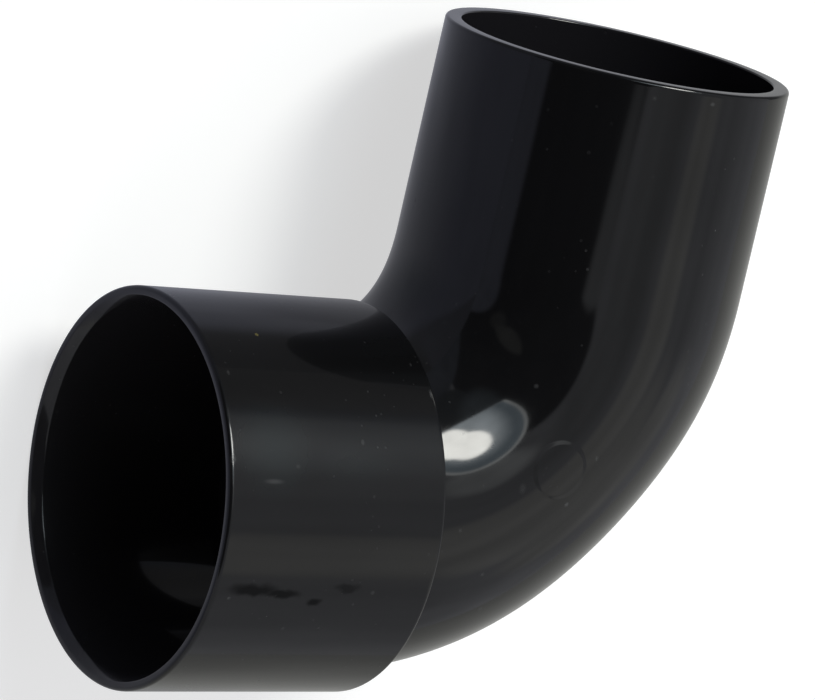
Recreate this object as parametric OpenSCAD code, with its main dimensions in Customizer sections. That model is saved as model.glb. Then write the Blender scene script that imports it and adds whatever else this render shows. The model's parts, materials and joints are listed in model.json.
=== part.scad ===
// Street elbow for waste pipe: one moulded piece with a socket at one end and a spigot at the other.
// It lies on its side. The bend's plane is XY and +Z is up.
// The origin is the middle of the seat, where a pipe pushed into the socket comes to rest.
// The socket opens towards -X, and the spigot leaves towards +Y.

/* [Spigot] */
// Outer diameter of the spigot, the same as the pipe's
spigot_od = 43; // [36:0.5:50]
// Wall of the spigot and of the bend
spigot_wall = 2; // [1.6:0.1:3.5]
// Straight length of the spigot, from the end of the bend to its tip
spigot_len = 26.9; // [15:0.1:60]
// Radius on the outer edge of the spigot's tip
tip_round = 0.4; // [0.1:0.05:0.7]
// Radius on the inner edge of the spigot's tip
tip_inner_round = 0.2; // [0.1:0.05:0.7]

/* [Bend] */
// Angle that the pipe's direction turns through
turn_angle = 87.5; // [30:0.5:90]
// Radius of the bend, measured to the middle of the tube
bend_r = 32; // [29:0.5:70]
// How far before the seat the bend begins
bend_inset = 1.2; // [0:0.1:2]

/* [Socket] */
// Gap all round between the pipe and the socket's straight bore
joint_gap = 0.15; // [0.05:0.05:0.3]
// Depth of the socket, from its mouth to the seat
socket_depth = 26; // [20:0.5:45]
// Wall of the socket at its rear edge
socket_wall = 2.2; // [1.8:0.1:4]
// How much the socket's outer radius grows from its rear edge to its mouth
socket_draft = 0.3; // [0.1:0.05:0.5]
// Length of the solid shoulder, from the seat to the socket's rear edge
shoulder_len = 4.1; // [2.5:0.1:8]
// Radius on the outer edge of the mouth
mouth_round = 0.5; // [0.1:0.05:0.6]
// Radius on the outer edge of the shoulder
rear_round = 0.35; // [0.1:0.05:0.6]

/* [Lead-in] */
// Depth of the bevel just inside the mouth
bevel_depth = 1.2; // [0.5:0.1:3]
// How much the bevel widens the mouth, on the radius
bevel_width = 0.85; // [0.2:0.05:0.9]
// Length of the slow taper behind the bevel
taper_len = 8; // [3:0.5:12]
// How much the slow taper widens the bore, on the radius
taper_width = 0.6; // [0.2:0.05:0.8]

/* [Hidden] */
$fn = 96;

// How far a cut runs past the face that it opens
past = 1;
// Steps in the arc of a rounded edge
round_steps = 6;
quarter = 90;

tube_r = spigot_od / 2;
passage_r = tube_r - spigot_wall;
bore_r = tube_r + joint_gap;
socket_rear_r = bore_r + socket_wall;
socket_mouth_r = socket_rear_r + socket_draft;
mouth_x = -socket_depth;
rear_x = shoulder_len;
taper_end_r = bore_r + taper_width;
bevel_end_r = taper_end_r + bevel_width;

// Points of a rounded corner about a centre, from one angle to another
function arc(centre, r, from, to) =
    [for (i = [0 : round_steps])
        let (a = from + (to - from) * i / round_steps)
        centre + r * [cos(a), sin(a)]];

// Turns a profile of [radius, place along the axis] about the X axis
module turned() {
    rotate([0, quarter, 0]) rotate_extrude() children();
}

// Moves its children to the middle of the bend, with +X pointing to where the spigot begins
module from_bend_middle() {
    translate([-bend_inset, bend_r, 0])
        rotate([0, 0, turn_angle - quarter])
            children();
}

// Sweeps a round bar of the given radius round the bend, back from the spigot to the socket
module swept(r) {
    mirror([0, 1, 0])
        rotate_extrude(angle = turn_angle)
            translate([bend_r, 0])
                circle(r = r);
}

// Turns a profile of [radius, distance from the bend] about the spigot's axis
module turned_at_spigot() {
    translate([bend_r, 0, 0])
        rotate([-quarter, 0, 0])
            rotate_extrude()
                children();
}

// The socket's outside: a slight cone with both outer edges rounded
module socket_outside() {
    turned()
        polygon(concat(
            [[0, rear_x], [0, mouth_x]],
            arc([socket_mouth_r - mouth_round, mouth_x + mouth_round], mouth_round, -quarter, 0),
            arc([socket_rear_r - rear_round, rear_x - rear_round], rear_round, 0, quarter)));
}

// The space inside the socket: a bevel, a slow taper and the straight bore down to the seat
module socket_inside() {
    turned()
        polygon([
            [0, 0],
            [bore_r, 0],
            [bore_r, mouth_x + bevel_depth + taper_len],
            [taper_end_r, mouth_x + bevel_depth],
            [bevel_end_r, mouth_x],
            [bevel_end_r, mouth_x - past],
            [0, mouth_x - past]]);
}

// The outside of the bend and the spigot, with the edge of the tip rounded
module tube_outside() {
    from_bend_middle() {
        swept(tube_r);
        turned_at_spigot()
            polygon(concat(
                [[0, 0], [tube_r, 0]],
                arc([tube_r - tip_round, spigot_len - tip_round], tip_round, 0, quarter),
                [[0, spigot_len]]));
    }
}

// The passage through the bend and the spigot, which flares a little at the tip
module tube_inside() {
    from_bend_middle() {
        swept(passage_r);
        turned_at_spigot()
            polygon(concat(
                [[0, 0], [passage_r, 0]],
                arc([passage_r + tip_inner_round, spigot_len - tip_inner_round],
                    tip_inner_round, 2 * quarter, quarter),
                [[passage_r + tip_inner_round, spigot_len + past], [0, spigot_len + past]]));
    }
}

module street_elbow() {
    color([0.05, 0.05, 0.055])
        difference() {
            union() {
                socket_outside();
                tube_outside();
            }
            socket_inside();
            tube_inside();
        }
}

street_elbow();
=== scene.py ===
"""Looks of the street elbow: one moulded piece of glossy black plastic, lying on its side.

Everything is in metres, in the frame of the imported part. The origin is the middle of the socket's seat,
the socket opens towards -X, the bend lies in the XY plane and +Z is up.
"""

import json
import logging
import math
from dataclasses import dataclass
from enum import Enum
from typing import ClassVar

import bmesh
import bpy
from mathutils import Matrix, Vector

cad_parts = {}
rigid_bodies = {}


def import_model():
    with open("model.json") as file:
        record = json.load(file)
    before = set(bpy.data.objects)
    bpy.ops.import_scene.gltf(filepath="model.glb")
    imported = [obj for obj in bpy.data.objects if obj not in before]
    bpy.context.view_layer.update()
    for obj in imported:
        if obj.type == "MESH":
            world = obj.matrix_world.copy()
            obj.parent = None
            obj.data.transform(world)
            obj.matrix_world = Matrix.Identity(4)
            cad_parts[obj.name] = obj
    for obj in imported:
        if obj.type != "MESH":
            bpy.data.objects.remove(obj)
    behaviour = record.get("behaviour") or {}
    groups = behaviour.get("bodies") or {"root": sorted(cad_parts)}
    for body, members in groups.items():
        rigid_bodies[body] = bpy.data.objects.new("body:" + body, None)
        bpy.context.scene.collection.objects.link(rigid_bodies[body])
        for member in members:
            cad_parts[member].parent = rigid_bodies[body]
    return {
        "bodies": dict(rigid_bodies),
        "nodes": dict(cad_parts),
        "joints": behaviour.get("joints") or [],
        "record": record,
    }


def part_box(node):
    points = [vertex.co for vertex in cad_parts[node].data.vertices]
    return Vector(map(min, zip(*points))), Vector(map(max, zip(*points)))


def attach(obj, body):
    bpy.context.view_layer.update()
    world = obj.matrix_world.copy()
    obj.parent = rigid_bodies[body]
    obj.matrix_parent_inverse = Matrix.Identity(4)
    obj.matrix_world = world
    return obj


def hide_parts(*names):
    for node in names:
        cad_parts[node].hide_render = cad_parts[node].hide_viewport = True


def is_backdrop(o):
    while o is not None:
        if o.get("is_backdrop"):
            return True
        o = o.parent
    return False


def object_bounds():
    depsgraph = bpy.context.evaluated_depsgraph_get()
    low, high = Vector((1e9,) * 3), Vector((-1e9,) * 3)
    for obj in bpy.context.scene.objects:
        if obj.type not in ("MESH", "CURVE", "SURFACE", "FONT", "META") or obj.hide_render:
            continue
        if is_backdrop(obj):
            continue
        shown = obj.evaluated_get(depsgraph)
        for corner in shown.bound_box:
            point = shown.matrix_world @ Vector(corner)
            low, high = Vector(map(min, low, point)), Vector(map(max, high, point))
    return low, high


MM = 0.001
NODE = "street_elbow"
PHOTO_WIDTH_PX = 815
SENSOR_MM = 36.0
X_AXIS = Vector((1, 0, 0))
Z_AXIS = Vector((0, 0, 1))
ORIGIN = Vector((0, 0, 0))

log = logging.getLogger("street_elbow")


class Side(Enum):
    """The two sides of the moulded wall."""

    OUTSIDE = 0
    INSIDE = 1


class Trace(Enum):
    """What a mark left on the plastic. The scuffed patches and one pale fleck also carry painted highlights."""

    # The scuffed patch is rougher, and its cool lighter colour is a painted highlight.
    HAZE_AND_SHEEN = "a scuffed patch that spreads the light"
    SMEAR = "a smear that mirrors less"
    GRIT = "a yellowish grain"
    # Pale flecks are dust, and one of them is a painted glint.
    FLECK_AND_GLINT = "a pale fleck"
    WORN = "a wide dull stretch"
    DISC = "the faintly raised disc left by the gate"


@dataclass(frozen=True)
class Mark:
    """One mark on the surface, as the photograph shows it."""

    trace: Trace
    middle: tuple[float, float, float]
    half_size: tuple[float, float, float]
    amount: float


def arc(centre: Vector, radius: float, start: float, stop: float, steps: int) -> list[Vector]:
    """Points of a round corner in a profile.

    Args:
        centre: middle of the arc, as place along the axis and distance from it.
        radius: radius of the arc.
        start: first angle in degrees, from the direction of the axis.
        stop: last angle in degrees.
        steps: number of straight steps in the arc.

    Returns:
        The points from the first angle to the last.
    """
    points = []
    for i in range(steps + 1):
        turn = math.radians(start + (stop - start) * i / steps)
        points.append(centre + Vector((math.cos(turn), math.sin(turn), 0)) * radius)
    return points


def direction(azimuth: float, elevation: float) -> Vector:
    """Unit vector towards a place in the studio.

    Args:
        azimuth: degrees round +Z, where 0 is -Y and 90 is +X.
        elevation: degrees above the floor.

    Returns:
        The unit vector.
    """
    a, e = math.radians(azimuth), math.radians(elevation)
    return Vector((math.sin(a) * math.cos(e), -math.cos(a) * math.cos(e), math.sin(e)))


class Shell:
    """The mesh of the whole fitting while it is made, with helpers for turned and swept walls."""

    AROUND = 160
    WELD = 0.002 * MM

    def __init__(self) -> None:
        """Starts an empty mesh."""
        self.mesh = bmesh.new()

    def turned(self, profile: list[Vector], side: Side) -> list[bmesh.types.BMVert]:
        """Turns a profile about the X axis.

        Args:
            profile: points as place along X and distance from X.
            side: which side of the wall the faces belong to.

        Returns:
            The new vertices.
        """
        old = set(self.mesh.verts)
        verts = [self.mesh.verts.new(p) for p in profile]
        edges = [self.mesh.edges.new(pair) for pair in zip(verts, verts[1:])]
        bmesh.ops.spin(self.mesh, geom=verts + edges, cent=ORIGIN, axis=X_AXIS, dvec=ORIGIN,
                       angle=math.tau, steps=self.AROUND, use_merge=True)
        return self.claim(old, side)

    def swept(self, radius: float, start_x: float, centre: Vector, angle: float, steps: int,
              side: Side) -> list[bmesh.types.BMVert]:
        """Sweeps a circle about a centre in the XY plane.

        Args:
            radius: radius of the circle, whose middle starts on the X axis.
            start_x: where on the X axis the sweep starts.
            centre: middle of the bend.
            angle: how far the circle is swept, in radians.
            steps: number of steps in the sweep.
            side: which side of the wall the faces belong to.

        Returns:
            The new vertices.
        """
        old = set(self.mesh.verts)
        place = Matrix.Translation((start_x, 0, 0)) @ Matrix.Rotation(math.radians(90), 4, "Y")
        ring = bmesh.ops.create_circle(self.mesh, segments=self.AROUND, radius=radius, matrix=place)["verts"]
        edges = list({e for v in ring for e in v.link_edges})
        bmesh.ops.spin(self.mesh, geom=ring + edges, cent=centre, axis=Z_AXIS, dvec=ORIGIN,
                       angle=angle, steps=steps, use_merge=False)
        return self.claim(old, side)

    def claim(self, old: set[bmesh.types.BMVert], side: Side) -> list[bmesh.types.BMVert]:
        """Gives the faces of the newest vertices their material and returns those vertices."""
        new = [v for v in self.mesh.verts if v not in old]
        for face in {f for v in new for f in v.link_faces}:
            face.material_index = side.value
        return new

    def open_loop(self, verts: list[bmesh.types.BMVert], along: Vector, last: bool) -> list[bmesh.types.BMEdge]:
        """Finds one of the two open rims of a stretch of wall.

        Args:
            verts: the vertices of the stretch.
            along: direction in which the two rims are told apart.
            last: whether the rim that lies further along is wanted.

        Returns:
            The edges of that rim.
        """
        rims = [e for e in {e for v in verts for e in v.link_edges} if e.is_boundary]
        places = [sum((v.co for v in e.verts), Vector()).dot(along) / 2 for e in rims]
        middle = (min(places) + max(places)) / 2
        return [e for e, place in zip(rims, places) if (place > middle) == last]

    def bridge(self, one: list[bmesh.types.BMEdge], other: list[bmesh.types.BMEdge], side: Side) -> None:
        """Closes the ring-shaped gap between two rims."""
        for face in bmesh.ops.bridge_loops(self.mesh, edges=one + other)["faces"]:
            face.material_index = side.value

    def finished(self, name: str, sharp_angle: float) -> bpy.types.Object:
        """Welds the stretches together and makes the object.

        Args:
            name: name of the object.
            sharp_angle: edges that bend more than this many degrees stay sharp.

        Returns:
            The new object, linked to the scene.
        """
        bmesh.ops.remove_doubles(self.mesh, verts=self.mesh.verts, dist=self.WELD)
        bmesh.ops.recalc_face_normals(self.mesh, faces=self.mesh.faces)
        data = bpy.data.meshes.new(name)
        self.mesh.to_mesh(data)
        self.mesh.free()
        data.shade_smooth()
        data.set_sharp_from_angle(angle=math.radians(sharp_angle))
        made = bpy.data.objects.new(name, data)
        bpy.context.scene.collection.objects.link(made)
        return made


@dataclass
class Socket:
    """The end that takes a pipe: barrel, mouth, bevel, taper, bore and seat, turned about the X axis."""

    bore_r: float
    bore_len: float
    mouth_x: float
    mouth_r: float
    rear_x: float = 4.1 * MM
    wall: float = 2.2 * MM
    mouth_round: float = 0.5 * MM
    rear_round: float = 0.5 * MM
    bevel_depth: float = 1.2 * MM
    bevel_width: float = 0.85 * MM
    taper_width: float = 0.6 * MM
    edge_round: float = 0.12 * MM
    hold: float = 0.2 * MM
    round_steps: int = 8

    @property
    def rear_r(self) -> float:
        """Outer radius at the rear edge."""
        return self.bore_r + self.wall

    @property
    def taper_r(self) -> float:
        """Radius of the bore where the slow taper meets the bevel."""
        return self.bore_r + self.taper_width

    def outside(self) -> list[Vector]:
        """Profile from the rear face, over the barrel, to the flat of the mouth."""
        rear = Vector((self.rear_x - self.rear_round, self.rear_r - self.rear_round, 0))
        mouth = Vector((self.mouth_x + self.mouth_round, self.mouth_r - self.mouth_round, 0))
        slope = (self.mouth_r - self.rear_r) / (self.mouth_x - self.rear_x)
        first = rear + Vector((-self.hold, self.rear_round - self.hold * slope, 0))
        last = mouth + Vector((self.hold, self.mouth_round + self.hold * slope, 0))
        return [
            rear + Vector((self.rear_round, -self.hold, 0)),
            *arc(rear, self.rear_round, 0, 90, self.round_steps),
            first,
            last,
            *arc(mouth, self.mouth_round, 90, 180, self.round_steps),
        ]

    def inside(self) -> list[Vector]:
        """Profile from the flat of the mouth, over bevel, taper and bore, to the seat."""
        lip_r = self.taper_r + self.bevel_width
        bevel_end = self.mouth_x + self.bevel_depth
        soft = self.edge_round
        return [
            Vector((self.mouth_x, self.mouth_r - self.mouth_round, 0)),
            Vector((self.mouth_x, lip_r + soft, 0)),
            Vector((self.mouth_x + soft * 0.3, lip_r, 0)),
            Vector((self.mouth_x + soft, lip_r - soft * 0.75, 0)),
            Vector((bevel_end - soft, self.taper_r + soft * 0.75, 0)),
            Vector((bevel_end + soft, self.taper_r, 0)),
            Vector((-self.bore_len, self.bore_r, 0)),
            Vector((-self.hold, self.bore_r, 0)),
            Vector((0, self.bore_r, 0)),
            Vector((0, self.bore_r - self.hold, 0)),
        ]

    def build(self, shell: Shell) -> tuple[list[bmesh.types.BMVert], list[bmesh.types.BMVert]]:
        """Turns both profiles into the shell and returns their vertices, outside and inside."""
        outside = shell.turned(self.outside(), Side.OUTSIDE)
        inside = shell.turned(self.inside(), Side.INSIDE)
        log.info("socket: barrel %.1f mm across, bore %.1f mm", 2 * self.mouth_r / MM, 2 * self.bore_r / MM)
        return outside, inside


@dataclass
class Bend:
    """The curved middle. Its tube is a little narrower at mid-bend, across the plane of the bend."""

    tube_r: float
    angle: float
    radius: float = 32 * MM
    inset: float = 1.2 * MM
    wall: float = 2 * MM
    heel_pull: float = 0.94 * MM
    heel_lean: float = 1.233
    crotch_pull: float = 1.15 * MM
    neck_flare: float = 0.5 * MM
    neck_share: float = 0.3
    steps: int = 72

    @property
    def centre(self) -> Vector:
        """Middle of the bend, in the XY plane."""
        return Vector((-self.inset, self.radius, 0))

    def fitted(self, place: Vector, start_x: float) -> Vector:
        """Where a point of the plain swept tube lies on the real one.

        The sweep is drawn out of the plane across the tube at start_x, and the tube is narrowed.

        Args:
            place: a point of the plain swept tube.
            start_x: plane across X where the visible wall starts.

        Returns:
            The point of the real tube.
        """
        arm = place - self.centre
        turn = math.atan2(arm.x, -arm.y)
        reach = math.hypot(arm.x, arm.y)
        side = (reach - self.radius) / self.tube_r

        def narrowed(at: float) -> float:
            """Distance from the middle of the bend at an angle along it."""
            share = min(max(at / self.angle, 0), 1)
            if side < 0:
                flare = self.neck_flare * max(1 - share / self.neck_share, 0) ** 2
                return reach - side * (self.crotch_pull * math.sin(math.pi * share) ** 2 - flare)
            return reach - side * self.heel_pull * math.sin(math.pi * share ** self.heel_lean) ** 4

        first = 0.0
        for _ in range(6):
            first = math.asin((start_x - self.centre.x) / narrowed(first))
        at = first + (self.angle - first) * turn / self.angle
        arm_length = narrowed(at)
        return self.centre + Vector((math.sin(at) * arm_length, -math.cos(at) * arm_length, place.z))

    def build(self, shell: Shell, outside_x: float, inside_x: float
              ) -> tuple[list[bmesh.types.BMVert], list[bmesh.types.BMVert]]:
        """Sweeps the wall into the shell.

        Args:
            shell: the mesh of the fitting.
            outside_x: plane where the outer wall leaves the socket's rear face.
            inside_x: plane where the passage leaves the seat.

        Returns:
            The vertices outside and inside.
        """
        walls = []
        for side, radius, start_x in (
            (Side.OUTSIDE, self.tube_r, outside_x),
            (Side.INSIDE, self.tube_r - self.wall, inside_x),
        ):
            verts = shell.swept(radius, -self.inset, self.centre, self.angle, self.steps, side)
            for vert in verts:
                vert.co = self.fitted(vert.co, start_x)
            walls.append(verts)
        log.info("bend: %.1f degrees on a radius of %.0f mm", math.degrees(self.angle), self.radius / MM)
        return walls[0], walls[1]


@dataclass
class Spigot:
    """The plain end, whose tip has a thin flat rim."""

    tube_r: float
    length: float
    wall: float = 2 * MM
    tip_round: float = 0.4 * MM
    tip_inner_round: float = 0.2 * MM
    hold: float = 0.2 * MM
    round_steps: int = 8

    def profile(self, start_x: float) -> list[Vector]:
        """Profile from the end of the bend, round the tip and back along the passage.

        Args:
            start_x: place of the end of the bend while the spigot still lies along X.

        Returns:
            The points of the profile.
        """
        tip_x = start_x + self.length
        inner_r = self.tube_r - self.wall
        outer = Vector((tip_x - self.tip_round, self.tube_r - self.tip_round, 0))
        inner = Vector((tip_x - self.tip_inner_round, inner_r + self.tip_inner_round, 0))
        return [
            Vector((start_x, self.tube_r, 0)),
            outer + Vector((-self.hold, self.tip_round, 0)),
            *reversed(arc(outer, self.tip_round, 0, 90, self.round_steps)),
            *arc(inner, self.tip_inner_round, 0, -90, self.round_steps),
            inner + Vector((-self.hold, -self.tip_inner_round, 0)),
            Vector((start_x, inner_r, 0)),
        ]

    def build(self, shell: Shell, bend: Bend) -> None:
        """Turns the profile about X, then carries it round to the end of the bend.

        Args:
            shell: the mesh of the fitting.
            bend: the bend that the spigot continues.
        """
        verts = shell.turned(self.profile(-bend.inset), Side.OUTSIDE)
        for face in {f for v in verts for f in v.link_faces}:
            middle = face.calc_center_median()
            on_inside = math.hypot(middle.y, middle.z) < self.tube_r - self.wall + 0.1 * self.tip_inner_round
            face.material_index = Side.INSIDE.value if on_inside else Side.OUTSIDE.value
        bmesh.ops.rotate(shell.mesh, verts=verts, cent=bend.centre,
                         matrix=Matrix.Rotation(bend.angle, 3, "Z"))
        log.info("spigot: %.0f mm across, %.1f mm long", 2 * self.tube_r / MM, self.length / MM)


class Desk:
    """Places nodes in one node tree and joins them."""

    def __init__(self, tree: bpy.types.NodeTree) -> None:
        """Takes the tree and clears it."""
        self.tree = tree
        tree.nodes.clear()

    def add(self, kind: str, **settings: object) -> bpy.types.Node:
        """Adds a node.

        Args:
            kind: the node's type, such as ShaderNodeMath.
            settings: properties of the node and their values.

        Returns:
            The new node.
        """
        node = self.tree.nodes.new(kind)
        for key, value in settings.items():
            setattr(node, key, value)
        return node

    def feed(self, target: bpy.types.NodeSocket, source: object) -> None:
        """Joins a socket to a source, or sets it when the source is a plain value."""
        if isinstance(source, bpy.types.NodeSocket):
            self.tree.links.new(source, target)
        else:
            target.default_value = source

    def math(self, operation: str, *values: object) -> bpy.types.NodeSocket:
        """Adds a Math node.

        Args:
            operation: the node's operation.
            values: its inputs, each a number or a socket.

        Returns:
            Its output.
        """
        node = self.add("ShaderNodeMath", operation=operation)
        for target, value in zip(node.inputs, values):
            self.feed(target, value)
        return node.outputs[0]

    def vector(self, operation: str, *values: object) -> bpy.types.Node:
        """Adds a Vector Math node with the given inputs and returns the node."""
        node = self.add("ShaderNodeVectorMath", operation=operation)
        for target, value in zip(node.inputs, values):
            self.feed(target, value)
        return node

    def ramp(self, value: object, low: float, high: float, smooth: bool = True) -> bpy.types.NodeSocket:
        """Maps a value to 0 at low and 1 at high, clamped.

        Args:
            value: the number or socket to map.
            low: the value that gives 0.
            high: the value that gives 1.
            smooth: whether the step is eased at both ends.

        Returns:
            The mapped value.
        """
        node = self.add("ShaderNodeMapRange", interpolation_type="SMOOTHSTEP" if smooth else "LINEAR")
        self.feed(node.inputs["Value"], value)
        self.feed(node.inputs["From Min"], low)
        self.feed(node.inputs["From Max"], high)
        return node.outputs["Result"]

    def mix(self, share: object, one: object, other: object) -> bpy.types.NodeSocket:
        """Mixes two colours.

        Args:
            share: how much of the second colour is taken.
            one: the first colour or socket.
            other: the second colour or socket.

        Returns:
            The mixed colour.
        """
        node = self.add("ShaderNodeMix", data_type="RGBA")
        self.feed(node.inputs[0], share)
        self.feed(node.inputs[6], one)
        self.feed(node.inputs[7], other)
        return node.outputs[2]

    def noise(self, place: object, scale: float, detail: float = 2.0) -> bpy.types.NodeSocket:
        """Adds a Noise Texture with features of about one over scale metres and returns its value."""
        node = self.add("ShaderNodeTexNoise")
        self.feed(node.inputs["Vector"], place)
        node.inputs["Scale"].default_value = scale
        node.inputs["Detail"].default_value = detail
        return node.outputs[0]


def make_group(name: str, inputs: dict[str, tuple[str, object]], outputs: dict[str, str]
               ) -> tuple[Desk, bpy.types.Node, bpy.types.Node]:
    """Starts a shader node group.

    Args:
        name: name of the group.
        inputs: name of each input, with its socket type and default value.
        outputs: name of each output, with its socket type.

    Returns:
        The desk for its nodes, its input node and its output node.
    """
    tree = bpy.data.node_groups.new(name, "ShaderNodeTree")
    for label, (kind, value) in inputs.items():
        made = tree.interface.new_socket(name=label, in_out="INPUT", socket_type=kind)
        made.default_value = value
    for label, kind in outputs.items():
        tree.interface.new_socket(name=label, in_out="OUTPUT", socket_type=kind)
    desk = Desk(tree)
    return desk, desk.add("NodeGroupInput"), desk.add("NodeGroupOutput")


def specks_group() -> bpy.types.NodeTree:
    """Small round specks, spread at random: the mask that dust and grit share."""
    desk, given, out = make_group(
        "specks",
        {"Place": ("NodeSocketVector", (0, 0, 0)), "Scale": ("NodeSocketFloat", 300.0),
         "Share": ("NodeSocketFloat", 0.05), "Size": ("NodeSocketFloat", 0.2)},
        {"Mask": "NodeSocketFloat"})
    cells = desk.add("ShaderNodeTexVoronoi")
    desk.feed(cells.inputs["Vector"], given.outputs["Place"])
    desk.feed(cells.inputs["Scale"], given.outputs["Scale"])
    parts = desk.add("ShaderNodeSeparateColor")
    desk.feed(parts.inputs[0], cells.outputs["Color"])
    chosen = desk.math("LESS_THAN", parts.outputs[0], given.outputs["Share"])
    reach = desk.math("MULTIPLY", given.outputs["Size"], desk.math("ADD", parts.outputs[1], 0.35))
    dot = desk.math("SUBTRACT", 1.0, desk.ramp(desk.math("DIVIDE", cells.outputs["Distance"], reach), 0.5, 1.0))
    strength = desk.math("ADD", desk.math("MULTIPLY", parts.outputs[2], 0.7), 0.3)
    desk.feed(out.inputs["Mask"], desk.math("MULTIPLY", desk.math("MULTIPLY", chosen, dot), strength))
    return desk.tree


def spot_group() -> bpy.types.NodeTree:
    """A soft round spot about one place, stretched along one axis."""
    desk, given, out = make_group(
        "spot",
        {"Place": ("NodeSocketVector", (0, 0, 0)), "Middle": ("NodeSocketVector", (0, 0, 0)),
         "Half size": ("NodeSocketVector", (1, 1, 1)), "Inner": ("NodeSocketFloat", 0.4)},
        {"Mask": "NodeSocketFloat"})
    away = desk.vector("SUBTRACT", given.outputs["Place"], given.outputs["Middle"]).outputs[0]
    share = desk.vector("DIVIDE", away, given.outputs["Half size"]).outputs[0]
    length = desk.vector("LENGTH", share).outputs["Value"]
    desk.feed(out.inputs["Mask"], desk.math("SUBTRACT", 1.0, desk.ramp(length, given.outputs["Inner"], 1.0)))
    return desk.tree


@dataclass(frozen=True)
class GlossBlack:
    """Glossy black moulded plastic: a mirror-like skin over a duller one, with dust and handling marks, and
    painted highlights in some of them.
    """

    SPREAD: ClassVar[dict[Trace, float]] = {
        Trace.HAZE_AND_SHEEN: 0.0, Trace.SMEAR: 0.35, Trace.GRIT: 0.2, Trace.FLECK_AND_GLINT: 0.1, Trace.WORN: 0.2, Trace.DISC: 0.82,
    }
    name: str
    roughness: float
    socket_roughness: float
    base: tuple[float, float, float, float] = (0.0035, 0.0035, 0.0038, 1)
    socket_base: tuple[float, float, float, float] = (0.0035, 0.0035, 0.0038, 1)
    # Pale colour of the dust, also used for one painted glint.
    dust_and_glint: tuple[float, float, float, float] = (0.07, 0.07, 0.072, 1)
    # Cool lighter base colour of the scuffed patches: a painted highlight, the soft cool glow of the lamp on the
    # barrel.
    scuff_and_sheen: tuple[float, float, float, float] = (0.0065, 0.0105, 0.012, 1)
    grit: tuple[float, float, float, float] = (0.13, 0.11, 0.03, 1)
    skin_weight: float = 0.7
    skin_roughness: float = 0.06
    base_gloss: float = 0.12
    socket_end_x: float = 4.1 * MM
    wave_height: float = 0.04 * MM
    wave_scale: float = 55.0
    disc_height: float = 0.06 * MM
    marks: tuple[Mark, ...] = ()

    def material(self, specks: bpy.types.NodeTree, spot: bpy.types.NodeTree) -> bpy.types.Material:
        """Makes the material.

        Args:
            specks: the group that puts out dust.
            spot: the group that puts out soft spots.

        Returns:
            The material.
        """
        made = bpy.data.materials.new(self.name)
        made.use_nodes = True
        desk = Desk(made.node_tree)
        place = desk.add("ShaderNodeTexCoord").outputs["Object"]
        shader = desk.add("ShaderNodeBsdfPrincipled")
        out = desk.add("ShaderNodeOutputMaterial")
        desk.feed(out.inputs["Surface"], shader.outputs[0])
        shader.inputs["IOR"].default_value = 1.5
        shader.inputs["Specular IOR Level"].default_value = self.base_gloss
        shader.inputs["Coat Roughness"].default_value = self.skin_roughness
        shader.inputs["Coat IOR"].default_value = 1.5

        dust_and_glint = desk.math(
            "MAXIMUM",
            desk.math("MULTIPLY", self.specked(desk, specks, place, 900.0, 0.5, 0.16), 0.3),
            desk.math("MULTIPLY", self.specked(desk, specks, place, 330.0, 0.3, 0.085), 0.7))
        settled = desk.ramp(desk.noise(place, 90.0, 2.0), 0.42, 0.62)
        dust_and_glint = desk.math("MULTIPLY", dust_and_glint, desk.math("ADD", settled, 0.15))
        # The fleck marks join the dust; one of them is a painted glint.
        dust_and_glint = desk.math("MAXIMUM", dust_and_glint, self.marked(desk, spot, place, Trace.FLECK_AND_GLINT))
        grit = self.marked(desk, spot, place, Trace.GRIT)
        haze_and_sheen = self.marked(desk, spot, place, Trace.HAZE_AND_SHEEN)
        smear = self.marked(desk, spot, place, Trace.SMEAR)
        parts = desk.add("ShaderNodeSeparateXYZ")
        desk.feed(parts.inputs[0], place)
        on_bend = desk.math("GREATER_THAN", parts.outputs["X"], self.socket_end_x)
        # In the scuffed patches the base colour turns cool and lighter: a painted highlight on top of their
        # rougher finish.
        plastic = desk.mix(haze_and_sheen, desk.mix(on_bend, self.socket_base, self.base), self.scuff_and_sheen)
        desk.feed(shader.inputs["Base Color"], desk.mix(grit, desk.mix(dust_and_glint, plastic, self.dust_and_glint), self.grit))

        plain = desk.math("ADD", self.socket_roughness,
                          desk.math("MULTIPLY", on_bend, self.roughness - self.socket_roughness))
        handled = desk.ramp(desk.noise(place, 70.0, 5.0), 0.48, 0.75)
        rough = desk.math("ADD", plain, desk.math("MULTIPLY", handled, 0.04))
        rough = desk.math("ADD", rough, desk.math("MULTIPLY", haze_and_sheen, 0.16))
        desk.feed(shader.inputs["Roughness"], desk.math("ADD", rough, desk.math("MULTIPLY", dust_and_glint, 0.3)))

        worn = desk.math("ADD", desk.math("MULTIPLY", haze_and_sheen, 0.3), self.marked(desk, spot, place, Trace.WORN))
        streaks = desk.math("MULTIPLY", desk.ramp(self.streaked(desk, place), 0.35, 0.7), 0.14)
        worn = desk.math("ADD", worn, streaks)
        worn = desk.math("MAXIMUM", desk.math("MAXIMUM", worn, smear), desk.math("MULTIPLY", dust_and_glint, 0.8))
        kept = desk.math("SUBTRACT", 1.0, worn)
        desk.feed(shader.inputs["Coat Weight"], desk.math("MULTIPLY", kept, self.skin_weight))

        bump = desk.add("ShaderNodeBump")
        bump.inputs["Strength"].default_value = 1.0
        bump.inputs["Distance"].default_value = 1.0
        waves = desk.math("MULTIPLY", desk.noise(place, self.wave_scale, 1.0), self.wave_height)
        disc = desk.math("MULTIPLY", self.marked(desk, spot, place, Trace.DISC), self.disc_height)
        desk.feed(bump.inputs["Height"], desk.math("ADD", waves, disc))
        desk.feed(shader.inputs["Normal"], bump.outputs[0])
        desk.feed(shader.inputs["Coat Normal"], bump.outputs[0])
        return made

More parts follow.
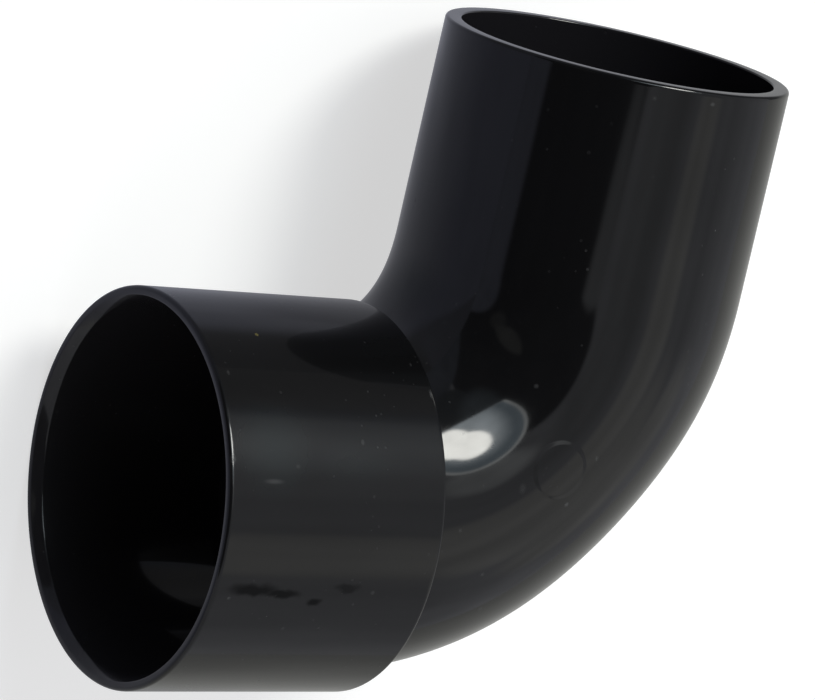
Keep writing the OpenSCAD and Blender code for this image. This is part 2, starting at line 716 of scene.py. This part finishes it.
    def streaked(self, desk: Desk, place: bpy.types.NodeSocket) -> bpy.types.NodeSocket:
        """Long fine streaks round the fitting, as wiping leaves them."""
        parts = desk.add("ShaderNodeSeparateXYZ")
        desk.feed(parts.inputs[0], place)
        drawn = desk.add("ShaderNodeCombineXYZ")
        desk.feed(drawn.inputs["X"], desk.math("MULTIPLY", parts.outputs["X"], 0.25))
        desk.feed(drawn.inputs["Y"], desk.math("MULTIPLY", parts.outputs["Y"], 0.5))
        desk.feed(drawn.inputs["Z"], desk.math("MULTIPLY", parts.outputs["Z"], 2.5))
        return desk.noise(drawn.outputs[0], 120.0, 4.0)

    def specked(self, desk: Desk, specks: bpy.types.NodeTree, place: bpy.types.NodeSocket, scale: float,
                share: float, size: float) -> bpy.types.NodeSocket:
        """Places the group of specks once.

        Args:
            desk: the material's nodes.
            specks: the group.
            place: Object coordinates.
            scale: cells to the metre.
            share: share of the cells that hold a speck.
            size: radius of a speck, as a share of its cell.

        Returns:
            The mask of the specks.
        """
        node = desk.add("ShaderNodeGroup", node_tree=specks)
        desk.feed(node.inputs["Place"], place)
        node.inputs["Scale"].default_value = scale
        node.inputs["Share"].default_value = share
        node.inputs["Size"].default_value = size
        return node.outputs["Mask"]

    def marked(self, desk: Desk, spot: bpy.types.NodeTree, place: bpy.types.NodeSocket, trace: Trace
               ) -> bpy.types.NodeSocket:
        """Places one soft spot for each mark of a kind and joins their masks.

        Args:
            desk: the material's nodes.
            spot: the group that puts out one spot.
            place: Object coordinates.
            trace: the kind of mark.

        Returns:
            The mask of all the marks of that kind.
        """
        ragged = desk.vector("MULTIPLY_ADD", self.jitter(desk, place), (1.4 * MM,) * 3, place).outputs[0]
        total: object = 0.0
        for mark in self.marks:
            if mark.trace is not trace:
                continue
            node = desk.add("ShaderNodeGroup", node_tree=spot)
            desk.feed(node.inputs["Place"], ragged if trace in (Trace.HAZE_AND_SHEEN, Trace.SMEAR) else place)
            node.inputs["Inner"].default_value = self.SPREAD[trace]
            node.inputs["Middle"].default_value = tuple(v * MM for v in mark.middle)
            node.inputs["Half size"].default_value = tuple(v * MM for v in mark.half_size)
            total = desk.math("MAXIMUM", total, desk.math("MULTIPLY", node.outputs["Mask"], mark.amount))
        return total

    def jitter(self, desk: Desk, place: bpy.types.NodeSocket) -> bpy.types.NodeSocket:
        """A random vector about zero that makes the outline of a mark ragged."""
        node = desk.add("ShaderNodeTexNoise")
        desk.feed(node.inputs["Vector"], place)
        node.inputs["Scale"].default_value = 500.0
        return desk.vector("SUBTRACT", node.outputs["Color"], (0.5, 0.5, 0.5)).outputs[0]


class StreetElbow:
    """The whole fitting: socket, bend and spigot in one wall."""

    SHARP_ANGLE = 28.0
    MARKS = (
        Mark(Trace.HAZE_AND_SHEEN, (-19.6, 11.2, 21.0), (6.4, 7.5, 6.0), 0.8),
        Mark(Trace.HAZE_AND_SHEEN, (-9.0, 10.0, 21.8), (9.0, 3.6, 4.0), 0.25),
        Mark(Trace.HAZE_AND_SHEEN, (8.2, 27.4, -0.5), (4.5, 4.0, 7.0), 0.8),
        # A painted glint: the bright dash at the foot of the barrel's soft highlight, laid on as a pale fleck.
        Mark(Trace.FLECK_AND_GLINT, (-20.0, 7.9, 22.8), (1.8, 0.4, 0.8), 0.42),
        Mark(Trace.SMEAR, (-20.6, -5.0, 23.6), (4.4, 1.2, 1.8), 1.0),
        Mark(Trace.SMEAR, (-16.6, -5.5, 23.5), (3.4, 0.9, 1.6), 1.0),
        Mark(Trace.SMEAR, (-11.7, -6.5, 23.1), (1.5, 0.8, 1.5), 1.0),
        Mark(Trace.SMEAR, (-7.9, -4.6, 23.5), (2.4, 0.8, 1.5), 0.7),
        Mark(Trace.GRIT, (-17.85, 22.03, 9.68), (0.35, 0.3, 0.35), 1.0),
        Mark(Trace.GRIT, (5.62, 22.85, 6.17), (0.35, 0.35, 0.35), 0.8),
        Mark(Trace.FLECK_AND_GLINT, (3.48, 17.45, 16.25), (0.2, 0.8, 0.8), 0.7),
        Mark(Trace.FLECK_AND_GLINT, (2.16, 20.11, 12.83), (0.2, 0.35, 0.35), 0.3),
        Mark(Trace.FLECK_AND_GLINT, (15.6, 7.7, 21.3), (0.6, 0.9, 0.7), 0.2),
        Mark(Trace.FLECK_AND_GLINT, (-25.5, 10.2, 21.9), (0.5, 0.9, 0.5), 0.5),
        Mark(Trace.FLECK_AND_GLINT, (-16.7, 9.6, 22.0), (0.45, 0.35, 0.4), 0.3),
        Mark(Trace.FLECK_AND_GLINT, (-7.5, 12.4, 20.5), (0.35, 0.6, 0.5), 0.3),
        Mark(Trace.FLECK_AND_GLINT, (-24.2, 18.7, 15.2), (0.3, 0.5, 0.5), 0.3),
        Mark(Trace.FLECK_AND_GLINT, (22.4, 5.9, 21.2), (0.4, 0.4, 0.4), 0.9),
        Mark(Trace.FLECK_AND_GLINT, (7.8, 2.3, 21.5), (0.35, 0.35, 0.4), 0.35),
        Mark(Trace.FLECK_AND_GLINT, (12.7, -3.3, 20.6), (0.35, 0.35, 0.4), 0.45),
        Mark(Trace.FLECK_AND_GLINT, (15.1, -8.4, 18.1), (0.4, 0.35, 0.4), 0.5),
        Mark(Trace.FLECK_AND_GLINT, (25.3, 11.8, 21.5), (0.35, 0.5, 0.4), 0.45),
        Mark(Trace.FLECK_AND_GLINT, (-4.1, -5.1, 23.4), (0.4, 0.4, 0.4), 0.35),
        Mark(Trace.FLECK_AND_GLINT, (-14.5, -10.2, 21.7), (0.35, 0.35, 0.35), 0.3),
        Mark(Trace.FLECK_AND_GLINT, (16.6, 19.7, 18.6), (0.45, 0.4, 0.4), 0.35),
        Mark(Trace.FLECK_AND_GLINT, (31.9, 56.1, 21.5), (0.45, 0.35, 0.4), 0.6),
        Mark(Trace.FLECK_AND_GLINT, (24.4, 56.0, 20.1), (0.35, 0.35, 0.4), 0.3),
        Mark(Trace.WORN, (48.0, 60.0, 8.0), (30.0, 46.0, 40.0), 0.34),
        Mark(Trace.DISC, (20.42, 10.16, 21.46), (3.75, 3.75, 3.75), 1.0),
    )

    def __init__(self, frame: dict) -> None:
        """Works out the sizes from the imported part.
        """
        low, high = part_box(NODE)
        mounts = {m["name"]: m for m in frame["record"]["mounts"]}
        bore, pin = mounts["socket_bore"], mounts["spigot"]
        tube_r = pin["dims"]["r_mm"] * MM
        leaves = Vector(pin["axis"])
        self.socket = Socket(bore_r=bore["dims"]["r_mm"] * MM, bore_len=bore["dims"]["length_mm"] * MM,
                             mouth_x=low.x, mouth_r=high.z)
        self.bend = Bend(tube_r=tube_r, angle=X_AXIS.angle(leaves))
        self.spigot = Spigot(tube_r=tube_r, length=pin["dims"]["length_mm"] * MM + Spigot.tip_round)

    def build(self) -> bpy.types.Object:
        """Makes the fitting as one closed wall and returns its object."""
        shell = Shell()
        socket_out, socket_in = self.socket.build(shell)
        bend_out, bend_in = self.bend.build(shell, self.socket.rear_x, 0.0)
        start = X_AXIS
        shell.bridge(shell.open_loop(socket_out, start, True), self.first_rim(shell, bend_out), Side.OUTSIDE)
        shell.bridge(shell.open_loop(socket_in, start, True), self.first_rim(shell, bend_in), Side.INSIDE)
        self.spigot.build(shell, self.bend)
        return shell.finished("street_elbow_shell", self.SHARP_ANGLE)

    def first_rim(self, shell: Shell, verts: list[bmesh.types.BMVert]) -> list[bmesh.types.BMEdge]:
        """The rim of the bend that faces the socket."""
        return shell.open_loop(verts, Vector((0, 1, 0)), False)

    def dress(self, made: bpy.types.Object) -> None:
        """Gives the fitting its finish, outside and inside. The inside's base colours are lighter than the
        outside's, most in the deep socket: painted light where little light reaches.
        """
        specks, spot = specks_group(), spot_group()
        outside = GlossBlack("gloss_black_outside", roughness=0.10, socket_roughness=0.24, marks=self.MARKS)
        # Painted light: the inside's base colours are lifted above the outside's black, and most in the deep
        # socket, to make up for the light the passage lacks.
        inside = GlossBlack("gloss_black_inside_painted_light", roughness=0.16, socket_roughness=0.2,
                            base=(0.0095, 0.0092, 0.0108, 1), socket_base=(0.022, 0.021, 0.022, 1))
        for finish in (outside, inside):
            made.data.materials.append(finish.material(specks, spot))


@dataclass(frozen=True)
class SkyPatch:
    """A soft-edged round patch of the studio's surroundings."""

    azimuth: float
    elevation: float
    radius: float
    edge: float
    colour: tuple[float, float, float]
    strength: float
    within: tuple[float, float, float] | None = None


LAMP_EDGE = (145.8, 69.1, 33.9)


@dataclass
class Studio:
    """Pale floor, soft light all round and the camera."""

    floor_z: float
    room: tuple[float, float, float, float] = (0.445, 0.452, 0.48, 1)
    room_unevenness: float = 0.35
    floor_pale: tuple[float, float, float, float] = (0.5, 0.5, 0.5, 1)
    # Even glow of the floor for the camera: painted light that lifts its cast shadows.
    floor_glow: float = 0.62
    floor_lit: float = 0.7
    floor_even: float = 0.8
    # Tones that the fitting mirrors: painted shade on the cool side, painted light on the warm side.
    floor_shade_mirrored: tuple[float, float, float, float] = (0.31, 0.32, 0.41, 1)
    floor_light_mirrored: tuple[float, float, float, float] = (0.50, 0.50, 0.48, 1)
    floor_beside: tuple[float, float, float, float] = (0.22, 0.225, 0.27, 1)
    floor_behind: tuple[float, float, float, float] = (0.15, 0.15, 0.16, 1)
    floor_half: float = 3.0
    camera_at: tuple[float, float, float] = (-0.379071, 0.168435, 0.587424)
    camera_azimuth: float = -111.07
    camera_elevation: float = 54.645
    camera_roll: float = 118.16
    focal_px: float = 5936.0
    patches: tuple[SkyPatch, ...] = (
        SkyPatch(62, 52, 10, 5, (1.0, 0.995, 0.97), 0.70),
        SkyPatch(60, 36, 9, 5, (1.0, 1.0, 0.98), 0.64),
        SkyPatch(62, 20, 10, 5, (1.0, 1.0, 0.985), 0.60),
        SkyPatch(60, 80, 12, 10, (0.98, 1.0, 1.04), 0.39),
        SkyPatch(130, 66, 8, 5, (0.97, 1.0, 1.02), 1.0),
        SkyPatch(-120, 34, 51, 3, (1.0, 0.98, 1.08), 0.05),
        SkyPatch(-122, 6, 52, 3, (1.0, 0.98, 1.08), 0.05),
        SkyPatch(-45, 68, 8.5, 3, (0.98, 1.0, 1.04), 0.45),
        SkyPatch(-88, -1, 15, 4, (0.9, 0.94, 1.18), 0.26),
        SkyPatch(-103, 20, 5, 4, (1.0, 1.0, 1.0), 0.12),
        SkyPatch(-98, 35.3, 17.5, 3, (1.0, 1.0, 0.97), 0.17, (-124, 26.7, 17.5)),
        SkyPatch(117.2, -70.8, 98.1, 3, (0.88, 0.96, 1.15), 0.18, (175, -18, 62)),
        SkyPatch(175, 29.5, 13, 3, (0.9, 1.0, 1.1), 0.12),
        SkyPatch(147, 6, 14, 8, (1.0, 1.0, 1.03), 0.165),
        SkyPatch(-172, 40, 6, 20, (0.86, 1.0, 1.12), 0.28),
        SkyPatch(141, 38, 11, 14, (0.94, 1.0, 1.09), 0.5),
        SkyPatch(169.9, 48.1, 22.4, 0.8, (0.97, 1.0, 1.0), 2.7, LAMP_EDGE),
        SkyPatch(169.9, 48.1, 21.0, 1.2, (0.82, 1.0, 1.14), 1.15, LAMP_EDGE),
        SkyPatch(169, 47, 13, 13, (0.9, 1.0, 1.06), 4.5, LAMP_EDGE),
        SkyPatch(161.7, 51.5, 7.8, 2, (1.0, 1.0, 0.95), 20.0, LAMP_EDGE),
        SkyPatch(157, 45, 8.5, 2, (1.0, 1.0, 0.95), 20.0, LAMP_EDGE),
    )

    def build_floor(self) -> None:
        """Lays the floor. The camera sees it pale, and the fitting mirrors a quieter tone. Both glow: the
        floor's emission is painted light that lifts its shadows, and the mirrored tone is painted light and
        shade.
        """
        mesh = bmesh.new()
        bmesh.ops.create_grid(mesh, x_segments=1, y_segments=1, size=self.floor_half,
                              matrix=Matrix.Translation((0, 0, self.floor_z)))
        data = bpy.data.meshes.new("floor")
        mesh.to_mesh(data)
        mesh.free()
        floor = bpy.data.objects.new("floor", data)
        bpy.context.scene.collection.objects.link(floor)
        paint = bpy.data.materials.new("floor_paint")
        paint.use_nodes = True
        desk = Desk(paint.node_tree)
        shader = desk.add("ShaderNodeBsdfPrincipled")
        shader.inputs["Roughness"].default_value = 0.9
        shader.inputs["Specular IOR Level"].default_value = 0.0
        parts = desk.add("ShaderNodeSeparateXYZ")
        desk.feed(parts.inputs[0], desk.add("ShaderNodeTexCoord").outputs["Object"])
        across = desk.math("SUBTRACT", parts.outputs["X"], desk.math("MULTIPLY", parts.outputs["Y"], 0.8))
        # Painted light and shade in the mirrored tone: cool and dark towards -X, warm and light towards +X, and
        # darker again far out along +Y.
        mirrored = desk.mix(desk.ramp(across, -0.08, 0.08), self.floor_shade_mirrored, self.floor_light_mirrored)
        behind = desk.mix(desk.ramp(parts.outputs["X"], -0.03, 0.03), self.floor_beside, self.floor_behind)
        mirrored = desk.mix(desk.ramp(parts.outputs["Y"], 0.06, 0.09), mirrored, behind)
        seen = desk.add("ShaderNodeLightPath").outputs["Is Camera Ray"]
        dimmed = desk.mix(self.floor_lit, mirrored, (0, 0, 0, 1))
        desk.feed(shader.inputs["Base Color"], desk.mix(seen, dimmed, self.floor_pale))
        # The floor's emission is painted light: even for the camera, and tinted in the fitting's reflections, so
        # that the mirrored floor shows little shadow.
        glow = desk.mix(1 - self.floor_lit * self.floor_even, mirrored, (0, 0, 0, 1))
        even = (self.floor_glow,) * 3 + (1.0,)
        desk.feed(shader.inputs["Emission Color"], desk.mix(seen, glow, even))
        shader.inputs["Emission Strength"].default_value = 1.0
        out = desk.add("ShaderNodeOutputMaterial")
        desk.feed(out.inputs["Surface"], shader.outputs[0])
        data.materials.append(paint)
        floor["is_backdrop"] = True
        log.info("floor at %.2f mm", self.floor_z / MM)

    def build_light(self) -> None:
        """Paints the surroundings: an even room with soft patches laid over each other."""
        world = bpy.data.worlds.new("studio")
        bpy.context.scene.world = world
        world.use_nodes = True
        desk = Desk(world.node_tree)
        looks = desk.add("ShaderNodeTexCoord").outputs["Generated"]
        colour: object = self.room
        for patch in self.patches:
            middle = direction(patch.azimuth, patch.elevation)
            near = desk.vector("DOT_PRODUCT", looks, tuple(middle)).outputs["Value"]
            outer = math.cos(math.radians(patch.radius + patch.edge / 2))
            inner = math.cos(math.radians(max(patch.radius - patch.edge / 2, 0)))
            share = desk.ramp(near, outer, inner)
            if patch.within:
                middle = direction(patch.within[0], patch.within[1])
                near = desk.vector("DOT_PRODUCT", looks, tuple(middle)).outputs["Value"]
                limit = math.cos(math.radians(patch.within[2]))
                share = desk.math("MULTIPLY", share, desk.ramp(near, limit - 0.008, limit + 0.008))
            paint = tuple(c * patch.strength for c in patch.colour) + (1.0,)
            colour = desk.mix(share, colour, paint)
        uneven = desk.math("MULTIPLY", desk.math("SUBTRACT", desk.noise(looks, 5.0, 3.0), 0.5),
                           2 * self.room_unevenness)
        colour = desk.vector("SCALE", colour).outputs[0]
        colour.node.inputs["Scale"].default_value = 1.0
        desk.feed(colour.node.inputs["Scale"], desk.math("ADD", uneven, 1.0))
        back = desk.add("ShaderNodeBackground")
        desk.feed(back.inputs["Color"], colour)
        out = desk.add("ShaderNodeOutputWorld")
        desk.feed(out.inputs["Surface"], back.outputs[0])
        bpy.context.scene.view_settings.view_transform = "Standard"
        log.info("studio light: %d soft patches", len(self.patches))

    def build_camera(self) -> None:
        """Sets the camera where the photograph was taken from."""
        data = bpy.data.cameras.new("camera")
        data.sensor_width = SENSOR_MM
        data.lens = SENSOR_MM * self.focal_px / PHOTO_WIDTH_PX
        camera = bpy.data.objects.new("camera", data)
        bpy.context.scene.collection.objects.link(camera)
        back = direction(self.camera_azimuth, self.camera_elevation)
        level = back.to_track_quat("Z", "Y").to_matrix()
        turn = Matrix.Rotation(math.radians(self.camera_roll), 3, "Z")
        camera.matrix_world = Matrix.Translation(self.camera_at) @ (level @ turn).to_4x4()
        bpy.context.scene.camera = camera
        log.info("camera: %.0f mm lens", data.lens)


def main() -> None:
    """Builds the fitting and the studio round it."""
    logging.basicConfig(level=logging.INFO, format="%(name)s: %(message)s")
    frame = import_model()
    cad_low, cad_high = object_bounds()
    elbow = StreetElbow(frame)
    made = elbow.build()
    elbow.dress(made)
    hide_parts(NODE)
    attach(made, "root")
    log.info("%s: %d faces", made.name, len(made.data.polygons))
    studio = Studio(floor_z=cad_low.z)
    studio.build_floor()
    studio.build_light()
    studio.build_camera()


if __name__ == "__main__":
    main()
